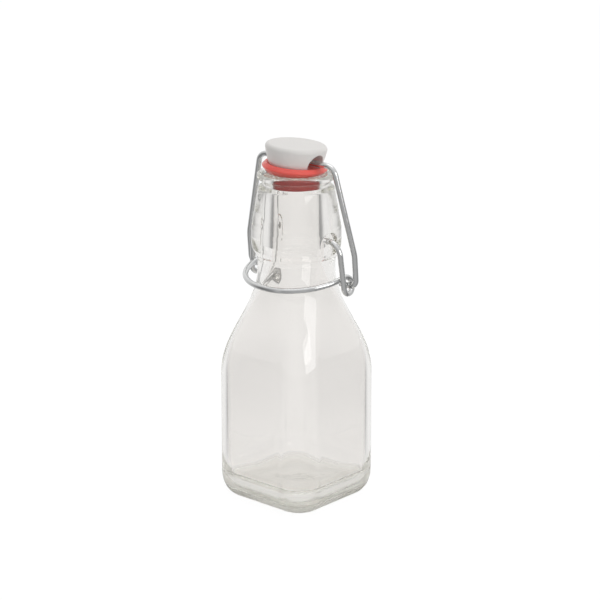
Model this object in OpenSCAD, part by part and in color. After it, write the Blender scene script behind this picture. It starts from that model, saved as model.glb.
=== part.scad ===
// Swing-top bottle: a small square glass bottle whose stopper is held by a wire bail and a wire lever.
// Millimetres. Origin at the middle of the base, +Z up, lever pivots along X, lever hoop towards -Y.

/* [Bottle body] */
// Width of the square body across its flat faces
body_w = 50.5; // [44:0.5:60]
// Radius of the body's upright corners
body_corner_r = 12.4; // [8:0.2:15]
// Height of the upright walls, up to the start of the shoulder
body_h = 51; // [46:0.5:70]
// Height of the shoulder, in which the square body becomes the round neck
shoulder_h = 46; // [42:0.5:50]
// Glass thickness of the body's walls
body_wall = 2.5; // [2:0.1:4]
// Glass thickness of the floor, at its edge
floor_t = 5.5; // [4:0.1:8]

/* [Base] */
// How far the heel draws in from the faces
heel_in = 7; // [4:0.2:8]
// Height of the heel's curve
heel_h = 10; // [6:0.2:14]
// Radius of the hollow under the base
pushup_r = 14; // [8:0.2:16]
// Depth of the hollow under the base
pushup_h = 1.6; // [0.8:0.1:3]

/* [Neck and finish] */
// Radius of the round neck
neck_r = 15.6; // [14.6:0.1:16]
// Height of the straight neck between the shoulder and the band
neck_h = 4.5; // [3.5:0.5:8]
// Radius of the pouring bore
bore_r = 9.5; // [9:0.1:10]
// Greatest radius of the reinforcing band that carries the lever
band_r = 18; // [17.4:0.1:18.2]
// Radius of the rounded lip
lip_r = 13.2; // [12.6:0.1:13.4]
// Height of the finish, from the band's lower edge to the sealing face of the lip
finish_h = 33.5; // [32:0.5:36]

/* [Wires] */
// Diameter of both wires
wire_d = 2.3; // [2:0.1:2.4]
// Height of the lever's pivots above the band's lower edge
pivot_h = 8; // [7:0.5:9]
// Distance of the lever's eyelets behind the pivots
eyelet_y = 3.9; // [3.4:0.1:4.6]
// Drop from the lever's pivots to its eyelets when the bottle is closed
eyelet_drop = 17.5; // [17:0.1:18.5]
// Radius of the eyelets, to the middle of the wire
eyelet_r = 3.3; // [3:0.05:3.5]
// Distance of the lever's arms from the middle at the eyelets, to the middle of the wire
arm_x = 25; // [24.6:0.1:26]
// Distance by which the arms draw in from the eyelets up to the pivots
arm_in = 2.6; // [2:0.1:3]
// Gap between wires that pass each other
wire_gap = 0.8; // [0.4:0.05:1]
// Play of a wire in its hole, on the radius
wire_play = 0.2; // [0.15:0.05:0.3]

/* [Stopper] */
// Radius of the stopper's head at its top edge
head_r = 12.4; // [12:0.1:13]
// Radius of the stopper's head at its underside
head_foot_r = 10.6; // [10:0.1:11]
// Height of the stopper's head
head_h = 9; // [8.5:0.1:10]
// Radius of the stem that carries the gasket
stem_r = 4; // [3.6:0.1:4.2]
// Length of the stem below the head, with its end knob
stem_l = 11.5; // [11:0.1:13]
// Radius of the knob that holds the gasket on the stem
knob_r = 6.4; // [5.4:0.1:6.6]
// Height of the bail's cross wire above the head's underside
cross_h = 1.8; // [1.6:0.1:2.2]
// Radius of the flared mouth at each end of the cross hole
mouth_r = 4.2; // [3.8:0.1:4.6]

/* [Gasket] */
// Thickness of the gasket between the head and the lip
gasket_t = 3; // [2.6:0.1:3.4]
// Outer radius of the gasket's flared rim
gasket_r = 13.1; // [12.8:0.1:13.8]
// Gap all round between the gasket's sleeve and the bore
sleeve_gap = 0.15; // [0.1:0.05:0.4]

/* [Hidden] */
$fn = 96;

glass_colour = [0.86, 0.90, 0.88, 0.55];
half_w = body_w / 2;
wire_r = wire_d / 2;

// Heights above the base
shoulder_z = body_h;
neck_z = shoulder_z + shoulder_h;
band_z = neck_z + neck_h;
lip_z = band_z + finish_h;
pivot_z = band_z + pivot_h;
eyelet_z = pivot_z - eyelet_drop;

// Loft: points round each corner, rings up the heel and the shoulder
corner_steps = 10;
heel_steps = 7;
shoulder_steps = 20;
inner_heel = 6;
inner_corner_r = body_corner_r - body_wall;
inner_lift = 0.7;
bore_z = neck_z + inner_lift;
// Half of the flat that the last ring keeps, so that no two points of it meet
last_flat = 0.05;

// Finish
lip_band_h = 5.6;
lip_round = 1.8;
band_land_z = pivot_z + 2;
band_foot_h = 3;
bead_h = 1.6;
bead_out = 0.5;
cone_mid_z = (band_land_z + lip_z - lip_band_h) / 2;
cone_mid_r = (band_r + lip_r) / 2 + 0.7;
mouth_round = 0.8;

// Pockets for the lever's ends
pocket_depth = 1.3;
pocket_floor_x = band_r - pocket_depth;
pocket_half_w = 4.6;
pocket_up = 3.7;
pocket_drop = 4;
pivot_hole_x = 13;
pivot_tip_x = pivot_hole_x + 0.4;

// Closure heights
head_z = lip_z + gasket_t;
top_z = head_z + head_h;
cross_z = head_z + cross_h;

// Lever path
pivot_bend_r = 6;
hoop_x = arm_x - wire_d - wire_gap / 2;
hoop_gap = 2;
hoop_front_y = -(neck_r + wire_r + hoop_gap);
hoop_bend_r = hoop_x - 1.2;
hoop_rise = 0.3;
hoop_sag = 0.9;
hoop_front_z = eyelet_z - hoop_sag;
coil_bend_r = eyelet_r - 0.05;

// The straight runs reach a little way into the bends, which are a hair thicker
seat = 0.2;
swell = 0.03;

// Bail path
leg_x = arm_x + wire_d + wire_gap;
hook_bend_r = eyelet_r - 0.15;
hook_tip_x = hoop_x - wire_r - 1.1;
leg_straight_h = pivot_z - pivot_bend_r - eyelet_z + 1.5;
leg_len = norm([eyelet_y, cross_z - eyelet_z]);
leg_tilt = atan2(eyelet_y, cross_z - eyelet_z);
leg_bend_r = 12;
shoulder_x = 19.4;
shoulder_bend_r = 4.5;

// Stopper details
head_edge_r = 1.1;
head_dish = 0.4;
knob_h = 2.4;
knob_round = 0.8;
sleeve_r = bore_r - sleeve_gap;
mouth_in_x = 5.6;
mouth_up = 1.6;

function unit(v) = v / norm(v);

// Eased step from 0 to 1, softer at both ends than a straight ramp
function ease(t) = (3 * pow(t, 2) - 2 * pow(t, 3) + 6 * pow(t, 5) - 15 * pow(t, 4) + 10 * pow(t, 3)) / 2;

// Rounded square of half width w and corner radius c at height z, counter-clockwise
function ring(w, c, z) = [
    for (k = [0:3], j = [0:corner_steps])
        let (a = 90 * k + 90 * j / corner_steps, m = 90 * k + 45)
        [(w - c) * sqrt(2) * cos(m) + c * cos(a), (w - c) * sqrt(2) * sin(m) + c * sin(a), z]
];

// Half width, corner radius and height of each ring of the glass outside, from the base up
outer_rings = [
    for (i = [0:heel_steps])
        let (a = 90 * i / heel_steps, in = heel_in * (1 - sin(a)))
        [half_w - in, body_corner_r - in, heel_h * (1 - cos(a))],
    for (i = [0:shoulder_steps])
        let (t = i / shoulder_steps, s = ease(t))
        [half_w + (neck_r - half_w) * s, body_corner_r + (neck_r - last_flat - body_corner_r) * s,
            shoulder_z + (neck_z - shoulder_z) * t]
];

// The same for the hollow inside, which narrows to the bore a little below the neck
inner_rings = [
    for (i = [0:heel_steps])
        let (a = 90 * i / heel_steps, in = inner_heel * (1 - sin(a)))
        [half_w - body_wall - in, inner_corner_r - in, floor_t + inner_heel * (1 - cos(a))],
    for (i = [0:shoulder_steps])
        let (t = i / shoulder_steps, s = ease(t))
        [half_w - body_wall + (bore_r - half_w + body_wall) * s,
            inner_corner_r + (bore_r - last_flat - inner_corner_r) * s,
            shoulder_z + inner_lift + shoulder_h * t]
];

// Closed skin through a list of rings
module loft(rings) {
    n = 4 * (corner_steps + 1);
    top = (len(rings) - 1) * n;
    points = [for (r = rings) each ring(r[0], r[1], r[2])];
    sides = [
        for (i = [0:len(rings) - 2], j = [0:n - 1])
            let (a = i * n + j, b = i * n + (j + 1) % n)
            each [[a, a + n, b + n], [a, b + n, b]]
    ];
    polyhedron(points, concat([[for (j = [0:n - 1]) j]], sides, [[for (j = [n - 1:-1:0]) top + j]]), 4);
}

// Wire along corner points [x, y, z, bend radius], as straight runs that end in round bends
module wire(path) {
    n = len(path);
    p = [for (q = path) [q[0], q[1], q[2]]];
    dir = [for (i = [0:n - 2]) unit(p[i + 1] - p[i])];
    turn = [for (i = [0:n - 1]) i == 0 || i == n - 1 ? 0 : acos(dir[i - 1] * dir[i])];
    cut = [for (i = [0:n - 1]) path[i][3] * tan(turn[i] / 2)];
    for (i = [0:n - 2]) run(p[i] + dir[i] * cut[i], p[i + 1] - dir[i] * cut[i + 1]);
    for (i = [1:n - 2]) bend(p[i], dir[i - 1], dir[i], path[i][3], turn[i]);
}

module run(a, b) {
    v = b - a;
    translate(a) rotate([0, acos(v[2] / norm(v)), atan2(v[1], v[0])])
        translate([0, 0, -seat]) cylinder(r = wire_r, h = norm(v) + 2 * seat);
}

module bend(corner, d_in, d_out, r, turn) {
    c = corner + unit(d_out - d_in) * r / cos(turn / 2);
    ex = unit(corner - d_in * r * tan(turn / 2) - c);
    ez = cross(ex, d_in);
    multmatrix([
        [ex[0], d_in[0], ez[0], c[0]],
        [ex[1], d_in[1], ez[1], c[1]],
        [ex[2], d_in[2], ez[2], c[2]]
    ]) rotate_extrude(angle = turn) translate([r, 0]) circle(r = wire_r + swell);
}

// Outline of the neck, band and lip, turned round the axis
module finish() {
    rotate_extrude() polygon(concat(
        [[0, neck_z - 4], [neck_r, neck_z - 4], [neck_r, band_z - bead_h],
            [neck_r + bead_out, band_z - bead_h + 0.4], [neck_r + bead_out, band_z],
            [band_r - 0.3, band_z + band_foot_h], [band_r, band_z + band_foot_h + 1.5],
            [band_r, band_land_z], [cone_mid_r, cone_mid_z],
            [lip_r + 0.5, lip_z - lip_band_h], [lip_r, lip_z - lip_band_h + 1]],
        [for (a = [0:15:90]) [lip_r - lip_round * (1 - cos(a)), lip_z - lip_round * (1 - sin(a))]],
        [[0, lip_z]]
    ));
}

// Bore through the finish, with a rounded mouth
module bore() {
    rotate_extrude() polygon(concat(
        [[0, bore_z - mouth_round], [bore_r, bore_z - mouth_round]],
        [for (a = [0:15:90]) [bore_r + mouth_round * (1 - cos(a)), lip_z - mouth_round * (1 - sin(a))]],
        [[bore_r + mouth_round, lip_z + 1], [0, lip_z + 1]]
    ));
}

// Arched recess with a flat floor, and a blind hole, for one end of the lever, on the +X side
module pocket() {
    arch_z = pivot_z + pocket_up - pocket_half_w;
    low_z = band_z - pocket_drop;
    translate([pocket_floor_x, -pocket_half_w, low_z])
        cube([band_r, 2 * pocket_half_w, arch_z - low_z]);
    translate([pocket_floor_x, 0, arch_z]) rotate([0, 90, 0]) cylinder(r = pocket_half_w, h = band_r);
    translate([pivot_hole_x, 0, pivot_z]) rotate([0, 90, 0]) cylinder(r = wire_r + wire_play, h = band_r);
}

module glass_bottle() {
    color(glass_colour) difference() {
        union() {
            loft(outer_rings);
            finish();
        }
        loft(inner_rings);
        bore();
        pocket();
        mirror([1, 0, 0]) pocket();
        translate([0, 0, -0.01]) cylinder(r1 = pushup_r, r2 = pushup_r - 4, h = pushup_h);
    }
}

module stopper_head() {
    knob_z = head_z - stem_l;
    color([0.93, 0.93, 0.92]) difference() {
        rotate_extrude() polygon(concat(
            [[0, knob_z]],
            [for (a = [-90:15:0]) [knob_r - knob_round * (1 - cos(a)), knob_z + knob_round * (1 + sin(a))]],
            [[knob_r, knob_z + knob_h - 0.5], [stem_r, knob_z + knob_h]],
            [[stem_r, head_z], [head_foot_r, head_z]],
            [for (a = [0:15:90]) [head_r - head_edge_r * (1 - cos(a)), top_z - head_edge_r * (1 - sin(a))]],
            [[head_r - 2.4, top_z], [head_r - 3.6, top_z - head_dish], [0, top_z - head_dish]]
        ));
        translate([-head_r, 0, cross_z]) rotate([0, 90, 0])
            cylinder(r = wire_r + wire_play, h = 2 * head_r);
        for (side = [0, 1]) mirror([side, 0, 0]) cross_mouth();
    }
}

// Flared mouth at one end of the cross hole, open below, where the bail rises out of the head
module cross_mouth() {
    translate([mouth_in_x, 0, head_z + mouth_up]) rotate([0, 90, 0])
        cylinder(r1 = wire_r, r2 = mouth_r, h = head_r - mouth_in_x);
}

module rubber_gasket() {
    inner = stem_r + 0.05;
    foot = head_z - stem_l + knob_h + 0.1;
    color([0.85, 0.12, 0.10]) rotate_extrude() polygon([
        [inner, foot], [sleeve_r - 0.6, foot], [sleeve_r, foot + 0.6], [sleeve_r, lip_z - 0.9],
        [sleeve_r + 0.25, lip_z + 0.02], [gasket_r - 1.4, lip_z + 0.02], [gasket_r - 0.7, lip_z + 0.5],
        [gasket_r, lip_z + 2.1], [gasket_r - 0.3, lip_z + 2.6], [gasket_r - 1.3, lip_z + 3.45],
        [gasket_r - 1.8, lip_z + 3.4], [head_foot_r + 0.1, head_z - 0.02], [inner, head_z - 0.02]
    ]);
}

// Bail: cross wire through the head, shoulders, legs, and ends hooked into the eyelets
module bail_wire() {
    half = [
        [shoulder_x, 0, 0, shoulder_bend_r],
        [leg_x, 0, leg_straight_h - leg_len, leg_bend_r],
        [leg_x, 0, -leg_len, hook_bend_r],
        [hook_tip_x, 0, -leg_len, 0]
    ];
    color([0.75, 0.76, 0.78]) translate([0, 0, cross_z]) rotate([leg_tilt, 0, 0]) wire(both_sides(half));
}

// Lever: ends in the pockets, arms, one eyelet a side, and the hoop in front of the neck
module lever_wire() {
    half = [
        [hoop_x, hoop_front_y, hoop_front_z, hoop_bend_r],
        [hoop_x, eyelet_y + eyelet_r, eyelet_z + eyelet_r + hoop_rise, coil_bend_r],
        [(hoop_x + arm_x) / 2, eyelet_y + eyelet_r, eyelet_z - eyelet_r, coil_bend_r],
        [arm_x, eyelet_y - eyelet_r, eyelet_z - eyelet_r, coil_bend_r],
        [arm_x - arm_in, 0, pivot_z, pivot_bend_r],
        [pivot_tip_x, 0, pivot_z, 0]
    ];
    color([0.75, 0.76, 0.78]) wire(both_sides(half));
}

// A half path from the middle outwards, joined to its mirror image
function both_sides(half) = concat(
    [for (i = [len(half) - 1:-1:0]) [-half[i][0], half[i][1], half[i][2], half[i][3]]],
    half
);

glass_bottle();
stopper_head();
rubber_gasket();
bail_wire();
lever_wire();
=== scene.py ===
import math

import bmesh
import bpy
from mathutils import Matrix, Vector


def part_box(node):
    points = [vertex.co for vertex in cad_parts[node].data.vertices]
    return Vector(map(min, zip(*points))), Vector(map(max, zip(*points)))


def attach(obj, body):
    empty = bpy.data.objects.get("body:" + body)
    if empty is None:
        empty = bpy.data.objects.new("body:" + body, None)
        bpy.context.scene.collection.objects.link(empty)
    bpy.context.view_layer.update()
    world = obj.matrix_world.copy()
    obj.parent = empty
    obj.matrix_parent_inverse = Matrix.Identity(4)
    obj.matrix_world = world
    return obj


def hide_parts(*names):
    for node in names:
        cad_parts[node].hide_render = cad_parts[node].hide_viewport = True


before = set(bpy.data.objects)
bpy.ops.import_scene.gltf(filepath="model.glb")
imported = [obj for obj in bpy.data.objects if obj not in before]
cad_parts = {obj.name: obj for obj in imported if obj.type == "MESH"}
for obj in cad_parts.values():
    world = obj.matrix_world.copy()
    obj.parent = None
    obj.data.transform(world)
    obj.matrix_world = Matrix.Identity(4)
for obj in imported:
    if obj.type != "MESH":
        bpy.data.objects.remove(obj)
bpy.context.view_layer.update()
mm = 0.001
azimuth = math.radians(41.92)
towardsCamera = Vector((math.sin(azimuth), -math.cos(azimuth), 0))
cameraRight = Vector((math.cos(azimuth), math.sin(azimuth), 0))


class Flow:
    # a socket with arithmetic: each operator adds a Math node to its tree
    def __init__(self, board, socket):
        self.board = board
        self.socket = socket

    def out(self, name):
        return Flow(self.board, self.socket.node.outputs[name])

    def math(self, operation, *values):
        return self.board.node("ShaderNodeMath", {"operation": operation}, values)

    def of(self, operation):
        return self.math(operation, self)

    def __add__(self, other):
        return self.math("ADD", self, other)

    def __sub__(self, other):
        return self.math("SUBTRACT", self, other)

    def __rsub__(self, other):
        return self.math("SUBTRACT", other, self)

    def __mul__(self, other):
        return self.math("MULTIPLY", self, other)

    def __truediv__(self, other):
        return self.math("DIVIDE", self, other)

    def __rtruediv__(self, other):
        return self.math("DIVIDE", other, self)

    def __mod__(self, other):
        return self.math("FLOORED_MODULO", self, other)

    def __pow__(self, other):
        return self.math("POWER", self, other)

    def __lt__(self, other):
        return self.math("LESS_THAN", self, other)

    def __gt__(self, other):
        return self.math("GREATER_THAN", self, other)

    def __abs__(self):
        return self.of("ABSOLUTE")

    __radd__ = __add__
    __rmul__ = __mul__


class Board:
    # one node tree, shader or geometry, that nodes are laid on
    def __init__(self, tree):
        self.tree = tree

    def node(self, kind, settings=None, values=()):
        made = self.tree.nodes.new(kind)
        for name, value in (settings or {}).items():
            if name == "stops":
                ramp = made.color_ramp.elements
                while len(ramp) < len(value):
                    ramp.new(0.5)
                for stop, (place, colour) in zip(ramp, value):
                    stop.position = place
                    stop.color = (*colour, 1)
            else:
                setattr(made, name, value)
        for key, value in values.items() if isinstance(values, dict) else enumerate(values):
            if isinstance(value, Flow):
                self.tree.links.new(value.socket, made.inputs[key])
            elif value is not None:
                made.inputs[key].default_value = value
        shown = [socket for socket in made.outputs if socket.enabled]
        return Flow(self, shown[0]) if shown else None

    def mixColour(self, factor, first, second):
        return self.node("ShaderNodeMix", {"data_type": "RGBA"}, {0: factor, 6: first, 7: second}).out(2)


def geometryTree(name, inputs):
    # an empty modifier tree with named inputs: {name: (socket type, default)}
    tree = bpy.data.node_groups.new(name, "GeometryNodeTree")
    tree.interface.new_socket("Geometry", in_out="INPUT", socket_type="NodeSocketGeometry")
    for label, (kind, default) in inputs.items():
        socket = tree.interface.new_socket(label, in_out="INPUT", socket_type=kind)
        if default is not None:
            socket.default_value = default
    tree.interface.new_socket("Geometry", in_out="OUTPUT", socket_type="NodeSocketGeometry")
    board = Board(tree)
    sockets = board.node("NodeGroupInput").socket.node.outputs
    return board, {socket.name: Flow(board, socket) for socket in sockets if socket.name}


def closeTree(board, geometry, material):
    real = board.node("GeometryNodeRealizeInstances", values={"Geometry": geometry})
    done = board.node("GeometryNodeSetMaterial", values={"Geometry": real, "Material": material})
    board.node("NodeGroupOutput", values={0: done})


def grow(name, source, board, values):
    # runs a tree on a helper object and keeps the result as a plain mesh piece
    modifier = source.modifiers.new(board.tree.name, "NODES")
    modifier.node_group = board.tree
    for item in board.tree.interface.items_tree:
        if item.in_out == "INPUT" and item.name in values:
            modifier[item.identifier] = values[item.name]
    evaluated = source.evaluated_get(bpy.context.evaluated_depsgraph_get())
    mesh = bpy.data.meshes.new_from_object(evaluated)
    source.modifiers.remove(modifier)
    bpy.data.objects.remove(source)
    return place(name, mesh)


def place(name, mesh):
    mesh.name = name
    piece = bpy.data.objects.new(name, mesh)
    bpy.context.scene.collection.objects.link(piece)
    return piece


def helper(points, layers=None):
    # a bare chain of points, in metres, with number layers for the trees to read
    mesh = bpy.data.meshes.new("helper")
    mesh.from_pydata(points, [(i, i + 1) for i in range(len(points) - 1)], [])
    for label, numbers in (layers or {}).items():
        layer = mesh.attributes.new(label, "FLOAT", "POINT")
        layer.data.foreach_set("value", numbers)
    return place("helper", mesh)


def arcs(points, stepDegrees=9):
    # a profile whose third numbers round each corner: [(radius, height, rounding), ...]
    made = []
    for i, (x, z, bend) in enumerate(points):
        here = Vector((x, z))
        if bend == 0 or i in (0, len(points) - 1):
            made.append(here)
            continue
        before = (Vector(points[i - 1][:2]) - here).normalized()
        after = (Vector(points[i + 1][:2]) - here).normalized()
        half = before.angle(after) / 2
        centre = here + (before + after).normalized() * bend / math.sin(half)
        start = here + before * bend / math.tan(half) - centre
        sweep = start.angle_signed(here + after * bend / math.tan(half) - centre)
        steps = max(2, round(abs(sweep) / math.radians(stepDegrees)))
        for k in range(steps + 1):
            turned = start.copy()
            turned.rotate(Matrix.Rotation(-sweep * k / steps, 2))
            made.append(centre + turned)
    return made


# Turning: sweeps a profile round the upright axis, as a circle or a rounded square
turning, given = geometryTree("turnProfile", {
    "Points around": ("NodeSocketInt", 96),
    "Material": ("NodeSocketMaterial", None),
})
around = given["Points around"]
rows = turning.node("GeometryNodeAttributeDomainSize", {"component": "MESH"}, {0: given["Geometry"]})
columns = around + 1
sheet = turning.node("GeometryNodeMeshGrid", values={"Vertices X": rows, "Vertices Y": columns})
index = turning.node("GeometryNodeInputIndex")
column = index % columns
row = (index - column) / columns
profileSpot = turning.node("GeometryNodeSampleIndex", {"data_type": "FLOAT_VECTOR", "domain": "POINT"}, {
    "Geometry": given["Geometry"], "Value": turning.node("GeometryNodeInputPosition"), "Index": row})
parts = turning.node("ShaderNodeSeparateXYZ", values=(profileSpot,))
halfWidth, corner, height = parts.out("X"), parts.out("Y"), parts.out("Z")
angle = column * math.tau / around
fromDiagonal = abs(angle % (math.pi / 2) - math.pi / 4)
fromAxis = math.pi / 4 - fromDiagonal
flatReach = halfWidth / fromAxis.of("COSINE")
centreReach = (halfWidth - corner) * math.sqrt(2)  # out to the middle of the corner's round
across = centreReach * fromDiagonal.of("SINE")
cornerReach = centreReach * fromDiagonal.of("COSINE") + (corner * corner - across * across) ** 0.5
onFlat = halfWidth * fromAxis.of("TANGENT") < halfWidth - corner
reach = cornerReach + (flatReach - cornerReach) * onFlat
spread = turning.node("ShaderNodeCombineXYZ", values=(
    reach * angle.of("COSINE"), reach * angle.of("SINE"), height))
moved = turning.node("GeometryNodeSetPosition", values={"Geometry": sheet, "Position": spread})
joined = turning.node("GeometryNodeMergeByDistance", values={"Geometry": moved, "Distance": 0.004 * mm})
smooth = turning.node("GeometryNodeSetShadeSmooth", values={0: joined, "Shade Smooth": True})
closeTree(turning, smooth, given["Material"])


def turned(name, profile, material, pointsAround=96):
    # profile rows are (half width, corner radius, height) in millimetres, from one pole to the other
    source = helper([Vector(row) * mm for row in profile])
    piece = grow(name, source, turning, {"Points around": pointsAround, "Material": material})
    faceOut(piece.data)
    return piece


def faceOut(mesh, sharp=35):
    # turns every face outwards and keeps edges sharper than this angle crisp
    work = bmesh.new()
    work.from_mesh(mesh)
    bmesh.ops.recalc_face_normals(work, faces=work.faces)
    if work.calc_volume(signed=True) < 0:
        bmesh.ops.reverse_faces(work, faces=work.faces)
    work.to_mesh(mesh)
    work.free()
    mesh.shade_smooth()
    mesh.set_sharp_from_angle(angle=math.radians(sharp))


def cut(piece, *cutters):
    # takes each cutter out of a piece and throws the cutter away
    for cutter in cutters:
        modifier = piece.modifiers.new("cut", "BOOLEAN")
        modifier.operation = "DIFFERENCE"
        modifier.solver = "MANIFOLD"
        modifier.object = cutter
        evaluated = piece.evaluated_get(bpy.context.evaluated_depsgraph_get())
        mesh = bpy.data.meshes.new_from_object(evaluated)
        piece.modifiers.remove(modifier)
        piece.data = mesh
        bpy.data.objects.remove(cutter)
    piece.data.name = piece.name


def sideways(piece, height):
    # lays a turned piece's axis along X, at a height in millimetres
    piece.data.transform(Matrix.Translation((0, 0, height * mm)) @ Matrix.Rotation(math.pi / 2, 4, "Y"))
    return piece


def pin(name, radius, start, end, height):
    low, high = min(start, end), max(start, end)
    rows = [(0, low), (radius, low), (radius, high), (0, high)]
    return sideways(turned(name, [(r, r, z) for r, z in rows], glass, pointsAround=40), height)


# Sweeping: bends a chain of corner points round its own radii and runs a round wire along it
sweeping, given = geometryTree("sweepWire", {
    "Wire radius": ("NodeSocketFloat", 0.001),
    "Points per bend": ("NodeSocketInt", 16),
    "Points round wire": ("NodeSocketInt", 20),
    "Material": ("NodeSocketMaterial", None),
})
route = sweeping.node("GeometryNodeMeshToCurve", values={0: given["Geometry"]})
bendLayer = sweeping.node("GeometryNodeInputNamedAttribute", {"data_type": "FLOAT"}, {"Name": "bend"})
bent = sweeping.node("GeometryNodeFilletCurve", {"mode": "POLY"}, {
    "Curve": route, "Count": given["Points per bend"], "Radius": bendLayer, "Limit Radius": False})
outline = sweeping.node("GeometryNodeCurvePrimitiveCircle", {"mode": "RADIUS"}, {
    "Resolution": given["Points round wire"], "Radius": given["Wire radius"]})
swept = sweeping.node("GeometryNodeCurveToMesh", values={
    "Curve": bent, "Profile Curve": outline, "Fill Caps": True})
smooth = sweeping.node("GeometryNodeSetShadeSmooth", values={0: swept, "Shade Smooth": True})
closeTree(sweeping, smooth, given["Material"])


def shader(name, build):
    material = bpy.data.materials.new(name)
    material.use_nodes = True
    material.node_tree.nodes.clear()
    board = Board(material.node_tree)
    made = build(board)
    surface, inside = made if isinstance(made, tuple) else (made, None)
    board.node("ShaderNodeOutputMaterial", values={"Surface": surface, "Volume": inside})
    return material


def objectSpot(board):
    return board.node("ShaderNodeTexCoord").out("Object")


def heightOf(board, spot):
    return board.node("ShaderNodeSeparateXYZ", values=(spot,)).out("Z")


def noise(board, spot, scale, detail):
    return board.node("ShaderNodeTexNoise", values={"Vector": spot, "Scale": scale, "Detail": detail})


def bump(board, height, strength, depth):
    return board.node("ShaderNodeBump", values={"Strength": strength, "Distance": depth, "Height": height})


# Finishes: scales count per metre, depths and heights are in metres
glassFinish = {
    "tint": (0.945, 0.932, 0.918, 1), "ripples": 90, "film": 260, "filmDull": 0.02,
    "depthColour": (0.80, 0.80, 0.76, 1), "depthDensity": 12,
    "stippleFull": 0.0035, "stippleEnd": 0.006, "dots": 700, "dotRelief": 4, "stippleDull": 0.3,
    "frost": (0.93, 0.92, 0.86, 1), "frostShare": 0.5,
}


def clearGlass(board):
    # moulded flint glass: faint ripples, a dull film, a stippled foot, and colour that grows with depth
    look, spot = glassFinish, objectSpot(board)
    ripple = noise(board, spot, look["ripples"], detail=2)
    film = noise(board, spot, look["film"], detail=4)
    low = board.node("ShaderNodeMapRange", values={
        0: heightOf(board, spot), 1: look["stippleFull"], 2: look["stippleEnd"], 3: 1, 4: 0})
    dots = board.node("ShaderNodeTexVoronoi", values={"Vector": spot, "Scale": look["dots"]}).out("Distance")
    relief = ripple + dots * low * look["dotRelief"]
    surface = board.node("ShaderNodeBsdfPrincipled", values={
        "Base Color": look["tint"], "Transmission Weight": 1.0, "IOR": 1.5,
        "Roughness": film * look["filmDull"] + low * look["stippleDull"],
        "Normal": bump(board, relief, strength=0.12, depth=0.0002)})
    frosted = board.node("ShaderNodeBsdfTranslucent", values={"Color": look["frost"]})
    stippled = board.node("ShaderNodeMixShader", values={0: low * look["frostShare"], 1: surface, 2: frosted})
    depth = board.node("ShaderNodeVolumeAbsorption", values={
        "Color": look["depthColour"], "Density": look["depthDensity"]})
    return stippled, depth


plasticFinish = {
    "fresh": (0.82, 0.80, 0.775, 1), "handled": (0.78, 0.76, 0.735, 1), "wear": 120, "peel": 1400,
    "gloss": 0.26, "wearDull": 0.18, "softness": 0.12,
}


def whitePlastic(board):
    # glossy moulded plastic with fine orange peel and slightly duller patches from handling
    look, spot = plasticFinish, objectSpot(board)
    peel = noise(board, spot, look["peel"], detail=2)
    wear = noise(board, spot, look["wear"], detail=4)
    return board.node("ShaderNodeBsdfPrincipled", values={
        "Base Color": board.mixColour(wear, look["handled"], look["fresh"]),
        "Roughness": wear * look["wearDull"] + look["gloss"], "IOR": 1.49,
        "Subsurface Weight": look["softness"], "Subsurface Radius": (0.004, 0.004, 0.004),
        "Subsurface Scale": 0.5, "Normal": bump(board, peel, strength=0.03, depth=0.0001)})


rubberFinish = {
    # the sleeve colour is a darker copy of the rim's red, painted shade for the part that sits in the bore
    "rim": (0.98, 0.11, 0.09, 1), "rimPale": (1, 0.15, 0.12, 1), "sleeve": (0.58, 0.035, 0.025, 1),
    "paintedShadeTop": 0.1348, "patches": 160, "grain": 2200, "gloss": 0.12, "patchDull": 0.16, "softness": 0.2,
}


def redRubber(board):
    # moulded seal rubber, with painted shade: the sleeve sits in shade in the bore and gets a darker copy of
    # the rim's red
    look, spot = rubberFinish, objectSpot(board)
    grain = noise(board, spot, look["grain"], detail=3)
    patches = noise(board, spot, look["patches"], detail=4)
    rim = board.mixColour(patches, look["rim"], look["rimPale"])
    return board.node("ShaderNodeBsdfPrincipled", values={
        # below this height the red switches to the darker sleeve copy: painted shade
        "Base Color": board.mixColour(heightOf(board, spot) < look["paintedShadeTop"], rim, look["sleeve"]),
        "Roughness": patches * look["patchDull"] + look["gloss"], "IOR": 1.52,
        "Subsurface Weight": look["softness"], "Subsurface Radius": (0.006, 0.001, 0.001),
        "Subsurface Scale": 0.5, "Normal": bump(board, grain, strength=0.1, depth=0.0001)})


platingFinish = {
    "dull": (0.62, 0.63, 0.64, 1), "bright": (0.78, 0.78, 0.77, 1), "clouds": 420, "specks": 3000,
    "gloss": 0.05, "cloudDull": 0.12, "speckDull": 0.05,
}


def platedWire(board):
    # bright zinc plating over drawn wire: fine specks and cloudy dull spots
    look, spot = platingFinish, objectSpot(board)
    cloud = noise(board, spot, look["clouds"], detail=4)
    speck = noise(board, spot, look["specks"], detail=2)
    return board.node("ShaderNodeBsdfPrincipled", values={
        "Base Color": board.mixColour(cloud, look["dull"], look["bright"]), "Metallic": 1.0,
        "Roughness": cloud * look["cloudDull"] + speck * look["speckDull"] + look["gloss"],
        "Normal": bump(board, speck, strength=0.15, depth=0.00005)})


glass = shader("clearMouldedGlass", clearGlass)
plastic = shader("glossyWhitePlastic", whitePlastic)
rubber = shader("redSealRubber", redRubber)
plating = shader("brightPlatedWire", platedWire)
print("materials", len(bpy.data.materials))


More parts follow.
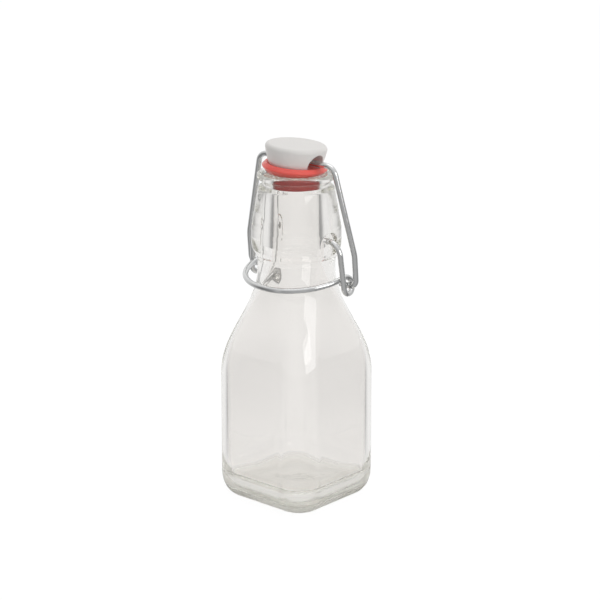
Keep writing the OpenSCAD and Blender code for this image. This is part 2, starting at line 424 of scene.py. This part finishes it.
# Bottle, in millimetres
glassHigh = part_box("glass_bottle")[1]
bottle = {
    "halfWidth": glassHigh.y / mm, "corner": 12.4, "shoulder": 51, "neck": 97, "neckRadius": 15.6,
    "heelIn": 7, "heelHeight": 10, "pushupRadius": 14, "pushupHeight": 0.8, "landing": 1.5,
    "wall": 2.5, "floor": 5.5, "floorRise": 0.9, "innerHeel": 6, "innerBevel": 0.6,
    "innerLift": 0.7, "boreFoot": 8, "bore": 9.5, "lip": glassHigh.z / mm,
    "finish": [  # radius, height and rounding, from the bead up past the groove that clears the hoop
        (15.6, 99.6, 1.2), (16.05, 100.7, 0.9), (16.1, 101.6, 0.9), (17.7, 104.4, 2.5), (18, 107, 2.5),
        (18, 112.5, 6), (16.6, 120.8, 16), (15.2, 128.9, 0.8), (13.65, 130.2, 0.5), (13.65, 132.05, 0.4),
        (15.6, 132.75, 0.5)],
    "lipRadius": 15.6, "lipRound": 1.1, "mouthRound": 0.8,
    "pocketFloor": 16.7, "pocketHalf": 4.8, "pocketArch": 108.6, "pocketUp": 5, "pocketSoft": 1.3,
    "bandTop": 118, "pivot": 109.5, "pivotHole": 1.35, "pivotDepth": 13, "pivotOut": 20,
    "pointsAround": 336, "pocketStep": 0.26, "wallStep": 8, "landingStep": 1.5, "outerRows": 46,
    "innerRows": 40, "heelSteps": 18, "cupSteps": 12, "pushupSteps": 12, "wellSteps": 10,
}


def ease(t):
    # rises from 0 to 1, flatter at both ends than a straight ramp
    return (3 * t**2 - 2 * t**3 + 6 * t**5 - 15 * t**4 + 10 * t**3) / 2


def shoulderRows(half, corner, low, radius, high, count):
    # from the square body in to the round neck
    made = []
    for i in range(count + 1):
        t = i / count
        s = ease(t)
        made.append((half + (radius - half) * s, corner + (radius - corner) * s, low + (high - low) * t))
    return made


def heelRows(half, corner, inset, base, rise, count, bevel=0):
    # a quarter round, or partly a straight bevel, from the floor up to the wall
    made = []
    for i in range(count + 1):
        t = i / count
        a = math.pi / 2 * t
        pull = inset * ((1 - math.sin(a)) * (1 - bevel) + (1 - t) * bevel)
        lift = rise * ((1 - math.cos(a)) * (1 - bevel) + t * bevel)
        made.append((half - pull, corner - pull, base + lift))
    return made


def finely(rows, step):
    # adds rows so that no two are further apart than step
    made = [rows[0]]
    for row in rows[1:]:
        last = Vector(made[-1])
        gap = Vector(row) - last
        count = max(1, math.ceil(gap.length / step))
        made.extend(tuple(last + gap * k / count) for k in range(1, count + 1))
    return made


def recess(mesh, size):
    # presses the two arched pockets for the lever's ends into the band, with soft edges
    for vertex in mesh.vertices:
        x, y, z = vertex.co / mm
        depth = abs(x) - size["pocketFloor"]
        if depth > 0 and size["neck"] < z < size["pivot"] + size["pocketUp"]:
            inward = size["pocketHalf"] - math.hypot(y, max(0, z - size["pocketArch"]))
            press = ease(min(1, max(0, inward / size["pocketSoft"])))
            vertex.co.x = math.copysign(abs(x) - depth * press, x) * mm


def outsideRows(size):
    # from the middle of the base out to the heel, up to the lip and down the bore to its foot
    rim, half, corner, neck = size["pushupRadius"], size["halfWidth"], size["corner"], size["neck"]
    hollow = []
    for i in range(size["pushupSteps"] + 1):
        t = i / size["pushupSteps"]
        hollow.append((rim * t, rim * t, size["pushupHeight"] * (1 - ease(t))))
    foot = heelRows(half, corner, size["heelIn"], 0, size["heelHeight"], size["heelSteps"])
    landing = finely([(rim + size["landing"], rim, 0.0), foot[0]], size["landingStep"])
    shoulder = shoulderRows(half, corner, size["shoulder"], size["neckRadius"], neck, size["outerRows"])
    wall = finely([foot[-1], shoulder[0]], size["wallStep"])
    outline = arcs([(size["neckRadius"], neck, 0)] + size["finish"] + [
        (size["lipRadius"], size["lip"], size["lipRound"]), (size["bore"], size["lip"], size["mouthRound"]),
        (size["bore"], neck + size["boreFoot"], 0)])
    finish = [(spot.x, spot.x, spot.y) for spot in outline]
    above = next(i for i, row in enumerate(finish) if row[2] > size["bandTop"])
    finish = finely(finish[:above], size["pocketStep"]) + finish[above:]
    return hollow + landing + foot[1:] + wall[1:] + shoulder[1:] + finish[1:]


def insideRows(size):
    # from the foot of the bore down the inner wall to the middle of the glass floor
    half, corner = size["halfWidth"] - size["wall"], size["corner"] - size["wall"]
    low, high = size["shoulder"] + size["innerLift"], size["neck"] + size["boreFoot"]
    heel, floor = size["innerHeel"], size["floor"]
    shoulder = shoulderRows(half, corner, low, size["bore"], high, size["innerRows"])
    cup = heelRows(half, corner, heel, floor, heel, size["cupSteps"], size["innerBevel"])
    wall = finely([shoulder[0], cup[-1]], size["wallStep"])
    wellHalf, wellCorner = half - heel, corner - heel
    well = []
    for i in range(size["wellSteps"] - 1, -1, -1):
        t = i / size["wellSteps"]
        wellRound = wellHalf * t - (wellHalf - wellCorner) * t**3  # its corners round off inwards
        well.append((wellHalf * t, wellRound, floor + size["floorRise"] * (1 - ease(t))))
    return shoulder[::-1][1:] + wall[1:] + cup[::-1][1:] + well


def makeBottle(size):
    piece = turned("bottleGlass", outsideRows(size) + insideRows(size), glass, size["pointsAround"])
    recess(piece.data, size)
    for side in (-1, 1):
        start, end = side * size["pivotDepth"], side * size["pivotOut"]
        cut(piece, pin("pivotHole", size["pivotHole"], start, end, size["pivot"]))
    faceOut(piece.data)
    return piece


bottleGlass = makeBottle(bottle)
print("bottle", len(bottleGlass.data.polygons), "faces")

# Wires, in millimetres
closure = {
    "wire": 1.15, "pivot": bottle["pivot"], "tip": 13.4, "pivotBend": 6, "arm": 25, "armIn": 2.6,
    "eyeletBack": 3.9, "eyeletUp": 92, "eyelet": 3.3, "eyeletRise": 0.3, "slack": 0.05,
    "hoop": 22.3, "hoopFront": -18.75, "hoopSag": 0.9, "hoopFlat": 1.2,
    "cross": 139.8, "shoulder": 19.4, "shoulderBend": 4.5, "leg": 28.1, "kneeUp": 13, "kneeBend": 12,
    "hookIn": 1.1, "hookSlack": 0.15, "pointsPerBend": 20, "pointsRound": 24,
}


def bothSides(half):
    # the right half of a path, mirrored to the left
    return [(-x, y, z, bend) for x, y, z, bend in reversed(half)] + half


def wire(name, path, frameTurn=None):
    spots = [Vector(row[:3]) * mm for row in path]
    if frameTurn:
        spots = [frameTurn @ spot for spot in spots]
    source = helper(spots, {"bend": [row[3] * mm for row in path]})
    piece = grow(name, source, sweeping, {
        "Wire radius": closure["wire"] * mm, "Points per bend": closure["pointsPerBend"],
        "Points round wire": closure["pointsRound"], "Material": plating})
    faceOut(piece.data, sharp=50)
    return piece


def leverPath(c):
    # corners and bend radii of the hoop, the eyelet loop and the arm up to its pocket
    back, up, ring = c["eyeletBack"], c["eyeletUp"], c["eyelet"]
    bend = ring - c["slack"]  # so that the eyelet's bends fit between their corners
    return bothSides([
        (c["hoop"], c["hoopFront"], up - c["hoopSag"], c["hoop"] - c["hoopFlat"]),
        (c["hoop"], back + ring, up + ring + c["eyeletRise"], bend),
        ((c["hoop"] + c["arm"]) / 2, back + ring, up - ring, bend),
        (c["arm"], back - ring, up - ring, bend),
        (c["arm"] - c["armIn"], 0, c["pivot"], c["pivotBend"]),
        (c["tip"], 0, c["pivot"], 0),
    ])


def bailPath(c):
    # drawn upright with its cross wire at zero, and leant back afterwards
    length = math.hypot(c["eyeletBack"], c["cross"] - c["eyeletUp"])
    return bothSides([
        (c["shoulder"], 0, 0, c["shoulderBend"]),
        (c["leg"], 0, c["kneeUp"] - length, c["kneeBend"]),
        (c["leg"], 0, -length, c["eyelet"] - c["hookSlack"]),
        (c["hoop"] - c["wire"] - c["hookIn"], 0, -length, 0),
    ])


leverWire = wire("leverWire", leverPath(closure))
bailLean = math.atan2(closure["eyeletBack"], closure["cross"] - closure["eyeletUp"])
bailTurn = Matrix.Translation((0, 0, closure["cross"] * mm)) @ Matrix.Rotation(bailLean, 4, "X")
bailWire = wire("bailWire", bailPath(closure), bailTurn)
print("wires", len(leverWire.data.polygons), len(bailWire.data.polygons), "faces")

# Stopper and gasket, in millimetres
stopper = {
    "foot": 138, "footRadius": 10.6, "top": 146.25, "topRadius": 12.7, "edge": 1.5, "belly": 0.15,
    "dish": 0.04, "rimWidth": 3.4, "dishStart": 5,
    "knobLow": 126, "knob": 6.4, "knobThick": 2, "knobTaper": 0.5, "stem": 4,
    "holeUp": closure["cross"] - 0.15, "hole": 1.55,
    "mouthOuter": 4.8, "mouthInner": 3.5, "mouthFloor": 4.5, "holeStart": 3.6,
    "tunnelReach": 16, "tunnelStep": 2, "tunnelPoints": 72,
    "lip": round(bottle["lip"], 3), "sleeve": 9.35, "sleeveLow": 128.3, "rim": 13.1, "gasketFoot": 132,
    "lipGap": 0.02, "stemGap": 0.05, "footGap": 0.03,
    "lean": 4.5, "leanFrom": 134.5, "leanFull": 137.5, "swivel": 1, "pointsAround": 160, "rowStep": 1.2,
}


def leanOver(mesh, size):
    # the head sits a little askew and pinches the gasket's rim, while the sleeve stays straight
    swivel = Vector((0, 0, size["top"] - size["swivel"])) * mm
    for vertex in mesh.vertices:
        share = (vertex.co.z / mm - size["leanFrom"]) / (size["leanFull"] - size["leanFrom"])
        angle = -math.radians(size["lean"]) * ease(min(1, max(0, share)))
        away = vertex.co - swivel
        away.rotate(Matrix.Rotation(angle, 3, towardsCamera))
        vertex.co = swivel + away


def makeHead(size):
    low, foot, top = size["knobLow"], size["foot"], size["top"]
    knob, stem, edge, dished = size["knob"], size["stem"], size["topRadius"], size["top"] - size["dish"]
    above = low + size["knobThick"]
    outline = arcs([
        (0, low, 0), (knob, low, 1.2), (knob, above, 0.4), (stem, above + size["knobTaper"], 0.3),
        (stem, foot, 0.3), (size["footRadius"], foot, 0.4),
        ((size["footRadius"] + edge) / 2 + size["belly"], (foot + top) / 2, 20),
        (edge, top, size["edge"]), (edge - size["rimWidth"], top, 3), (edge - size["dishStart"], dished, 3),
        (0, dished, 0)])
    rows = finely([(spot.x, spot.x, spot.y) for spot in outline], size["rowStep"])
    piece = turned("stopperHead", rows, plastic, size["pointsAround"])
    half = [(0, size["tunnelReach"]), (size["mouthOuter"], size["tunnelReach"]),
            (size["mouthInner"], size["mouthFloor"]), (size["hole"], size["holeStart"])]
    tunnelRows = [(r, r, -x) for r, x in half] + [(r, r, x) for r, x in reversed(half)]
    tunnelRows = finely(tunnelRows, size["tunnelStep"])
    cut(piece, sideways(turned("tunnel", tunnelRows, plastic, size["tunnelPoints"]), size["holeUp"]))
    leanOver(piece.data, size)
    faceOut(piece.data, sharp=40)
    return piece


def makeGasket(size):
    # a sleeve in the bore and a cupped rim that the head presses on the lip
    rim, sleeve, inner = size["rim"], size["sleeve"], size["stem"] + size["stemGap"]
    lip, under = size["lip"] + size["lipGap"], size["foot"] - size["footGap"]
    outline = arcs([
        (inner, size["gasketFoot"], 0), (inner, size["sleeveLow"], 0.3), (sleeve, size["sleeveLow"], 0.6),
        (sleeve, lip - 0.9, 0.3), (sleeve + 0.3, lip, 0.15), (rim - 1.5, lip, 0.6),
        (rim - 0.15, lip + 1.6, 0.8), (rim, lip + 2.1, 0.3), (rim - 1.2, lip + 3.45, 0.3),
        (rim - 1.9, lip + 3.4, 0.2), (size["footRadius"] + 0.2, under, 0.2), (inner, under, 0),
        (inner, size["gasketFoot"], 0)])
    rows = finely([(spot.x, spot.x, spot.y) for spot in outline], size["rowStep"])
    piece = turned("sealGasket", rows, rubber, size["pointsAround"])
    leanOver(piece.data, size)
    faceOut(piece.data, sharp=50)
    return piece


stopperHead = makeHead(stopper)
sealGasket = makeGasket(stopper)
print("stopper", len(stopperHead.data.polygons), len(sealGasket.data.polygons), "faces")

for piece, node, body, slot in (
    (bottleGlass, "glass_bottle", "bottle", "clear_glass"),
    (stopperHead, "stopper_head", "stopper", "white_plastic"),
    (sealGasket, "rubber_gasket", "stopper", "red_rubber"),
    (leverWire, "lever_wire", "lever", "plated_wire"),
    (bailWire, "bail_wire", "bail", "plated_wire"),
):
    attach(piece, body)
    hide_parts(node)


# Stage: a white sweep that keeps a faint shadow, light from above and behind, a dim room in front
studio = {
    "floor": 6, "floorDrop": 0.05, "mottle": 30, "floorTones": ((0.86, 0.86, 0.86, 1), (0.88, 0.88, 0.88, 1)),
    "glow": 0.88, "white": 1.07, "skyThroughGlass": 0.95,
    "overhead": 0.85, "behind": 0.55, "front": 0.1,
    # brightness that glass and metal show, from straight behind the object round to the camera's own side
    "throughGlass": [(0, 0.98), (0.16, 0.95), (0.23, 0.75), (0.3, 0.36), (0.42, 0.2), (0.6, 0.3), (1, 0.7)],
    "inMetal": [(0, 0.95), (0.25, 0.7), (0.4, 0.4), (0.55, 0.14), (0.7, 0.3), (0.8, 0.55), (0.88, 0.36),
                (1, 0.5)],
    "underGlass": (0.04, 0.13),  # the floor stays white through the glass to here, and fades out to here
    "lamps": {
        "topLamp": {"spot": (-0.1, 0.15, 0.9), "size": (0.7, 0.7), "power": 0.9},
        "sideLamp": {"spot": (0.86, -0.08, 0.44), "size": (0.6, 0.4), "power": 2},
    },
    "lampAim": (0, 0, 0.07),
    "lens": 135.2, "distance": 0.866, "height": 0.344, "aim": 0.0820, "aside": 0.00144,
}


def fromBehind(board, way):
    # 0 straight behind the object, 1 on the camera's own side
    flat = board.node("ShaderNodeVectorMath", {"operation": "NORMALIZE"}, (way,))
    facing = board.node("ShaderNodeVectorMath", {"operation": "DOT_PRODUCT"}, (flat, tuple(towardsCamera)))
    return (facing.out("Value") + 1) / 2


def level(board, nearness, stops):
    return board.node("ShaderNodeValToRGB", {"stops": [(at, (v, v, v)) for at, v in stops]}, (nearness,))


def raysSeen(board):
    # rays straight from the camera, rays that came through glass, and rays mirrored in metal or glass
    path = board.node("ShaderNodeLightPath")
    through = path.out("Is Transmission Ray")
    return path.out("Is Camera Ray"), through, path.out("Is Glossy Ray") * (1 - through)


def paleFloor(board):
    spot = objectSpot(board)
    mottle = noise(board, spot, studio["mottle"], detail=2)
    matte = board.node("ShaderNodeBsdfDiffuse", values={
        "Color": board.mixColour(mottle, *studio["floorTones"])})
    direct, through, mirrored = raysSeen(board)
    nearness = fromBehind(board, spot)
    away = board.node("ShaderNodeVectorMath", {"operation": "LENGTH"}, (spot,)).out("Value")
    whiteTo, fadedAt = studio["underGlass"]
    under = board.node("ShaderNodeMapRange", values={0: away, 1: whiteTo, 2: fadedAt, 3: 1, 4: 0})
    beside = level(board, nearness, studio["throughGlass"])
    glassSees = beside + under * (1 - beside)
    metalSees = level(board, nearness, studio["inMetal"])
    lit = board.node("ShaderNodeEmission", values={
        "Color": (1, 1, 1, 1),
        "Strength": direct * studio["white"] + through * glassSees + mirrored * metalSees})
    share = (direct + through + mirrored) * studio["glow"]  # the rest is the matte floor, with the shadow
    return board.node("ShaderNodeMixShader", values={0: share, 1: matte, 2: lit})


def makeFloor():
    bpy.ops.mesh.primitive_plane_add(size=studio["floor"], location=(0, 0, -studio["floorDrop"] * mm))
    floor = bpy.context.object
    floor.name = "floor"
    floor.data.materials.append(shader("paleFloor", paleFloor))
    return floor


def surround():
    world = bpy.data.worlds.new("surround")
    world.use_nodes = True
    world.node_tree.nodes.clear()
    board = Board(world.node_tree)
    way = board.node("ShaderNodeTexCoord").out("Generated")
    climb = heightOf(board, way)
    up = climb.math("MAXIMUM", climb, 0.0)
    nearness = fromBehind(board, way)
    direct, through, mirrored = raysSeen(board)
    room = studio["behind"] - nearness * (studio["behind"] - studio["front"])
    plain = room + up * (studio["overhead"] - room)
    metalSees = level(board, nearness, studio["inMetal"])
    strength = plain * (1 - (direct + through + mirrored)) + direct + through * studio["skyThroughGlass"] \
        + mirrored * (metalSees + up * (1 - metalSees))
    backing = board.node("ShaderNodeBackground", values={"Color": (1, 1, 1, 1), "Strength": strength})
    board.node("ShaderNodeOutputWorld", values={"Surface": backing})
    bpy.context.scene.world = world


def aimed(name, data, spot, target):
    # puts a lamp or a camera in the scene, looking at a point
    made = bpy.data.objects.new(name, data)
    made.location = spot
    made.rotation_euler = (Vector(target) - Vector(spot)).to_track_quat("-Z", "Y").to_euler()
    bpy.context.scene.collection.objects.link(made)
    return made


def lamp(name, spot, size, power):
    data = bpy.data.lights.new(name, "AREA")
    data.shape = "RECTANGLE"
    data.size, data.size_y = size
    data.energy = power
    aimed(name, data, spot, studio["lampAim"])


def makeCamera():
    data = bpy.data.cameras.new("camera")
    data.lens = studio["lens"]
    data.sensor_width = 36
    spot = towardsCamera * studio["distance"] + Vector((0, 0, studio["height"]))
    target = cameraRight * studio["aside"] + Vector((0, 0, studio["aim"]))
    return aimed("camera", data, spot, target)


floor = makeFloor()
surround()
for name, values in studio["lamps"].items():
    lamp(name, **values)
bpy.context.scene.camera = makeCamera()
bpy.context.scene.view_settings.view_transform = "Standard"
bpy.context.scene.cycles.max_bounces = 64  # light bounces many times inside the thick glass
bpy.context.scene.cycles.glossy_bounces = 48
bpy.context.scene.cycles.transmission_bounces = 64
print("stage", len(studio["lamps"]), "lamps")
